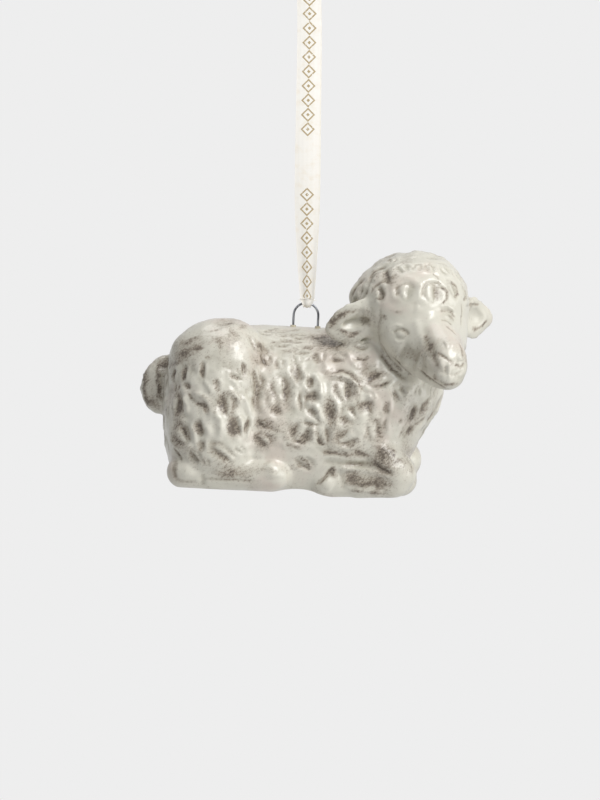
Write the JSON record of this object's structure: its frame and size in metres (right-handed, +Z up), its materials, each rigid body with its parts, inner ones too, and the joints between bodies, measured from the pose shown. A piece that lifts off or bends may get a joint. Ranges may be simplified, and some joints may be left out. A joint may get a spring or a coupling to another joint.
{
  "type": "hanging sheep figurine",
  "caption": "Hollow glazed ceramic sheep lying with folded legs and its head turned, hung by a wire loop in its back from a satin ribbon.",
  "frame": {"origin": "the hang point, under the ribbon's knot, where a hook or twig carries the loop", "axes": "+X along the sheep towards its chest, +Y away from the side with the turned face, +Z up, as it hangs"},
  "size_m": [0.0928, 0.052, 0.1442],
  "materials": {
    "glazed_ceramic": "off-white gloss glaze with a grey-brown wash rubbed into the relief",
    "steel_wire": "plain drawn wire",
    "clear_glue": "set epoxy",
    "satin_ribbon": null
  },
  "bodies": {
    "ribbon": {"ribbon_front": "satin_ribbon", "ribbon_back": "satin_ribbon", "ribbon_knot": "satin_ribbon", "ribbon_ends": "satin_ribbon"},
    "fold": {"ribbon_fold": "satin_ribbon"},
    "sheep": {"sheep_body": "glazed_ceramic", "hanger_wire": "steel_wire", "glue_plugs": "clear_glue"}
  },
  "joints": [
    {"name": "sheep_swing", "type": "hinge", "parent": "ribbon", "child": "fold", "pos_m": [0, 0, -0.084], "axis": [1, 0, 0], "range_deg": [-75, 75], "deforming": ["ribbon_fold"]},
    {"name": "sheep_tip", "type": "hinge", "parent": "fold", "child": "sheep", "pos_m": [0, 0, -0.0872], "axis": [0, 1, 0], "range_deg": [-30, 30]}
  ]
}
